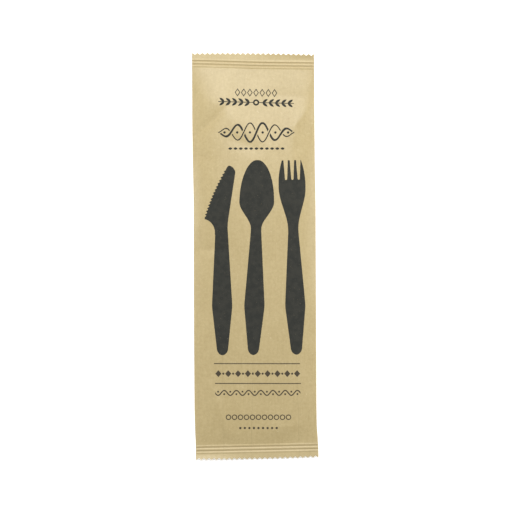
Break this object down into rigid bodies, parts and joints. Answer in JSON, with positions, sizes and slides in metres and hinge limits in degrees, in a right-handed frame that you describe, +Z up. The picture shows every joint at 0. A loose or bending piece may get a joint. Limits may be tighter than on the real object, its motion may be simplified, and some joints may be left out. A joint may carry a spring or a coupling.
{
  "type": "wooden cutlery pack",
  "caption": "Flat sealed brown-paper pack of wooden cutlery, with crimped ends cut in a zigzag and dark pictures of a knife, a spoon and a fork on its face.",
  "frame": {"origin": "on the surface that the pack lies on, under the middle of its box", "axes": "+Y along the pack to the head of its printed face, +X to the right of that face, +Z up out of it"},
  "size_m": [0.0628, 0.2077, 0.0073],
  "materials": {
    "kraft_paper": "light brown kraft paper with a faint sheen, dark printing on the face"
  },
  "bodies": {
    "root": {"sealed_pack": "kraft_paper"}
  },
  "joints": []
}
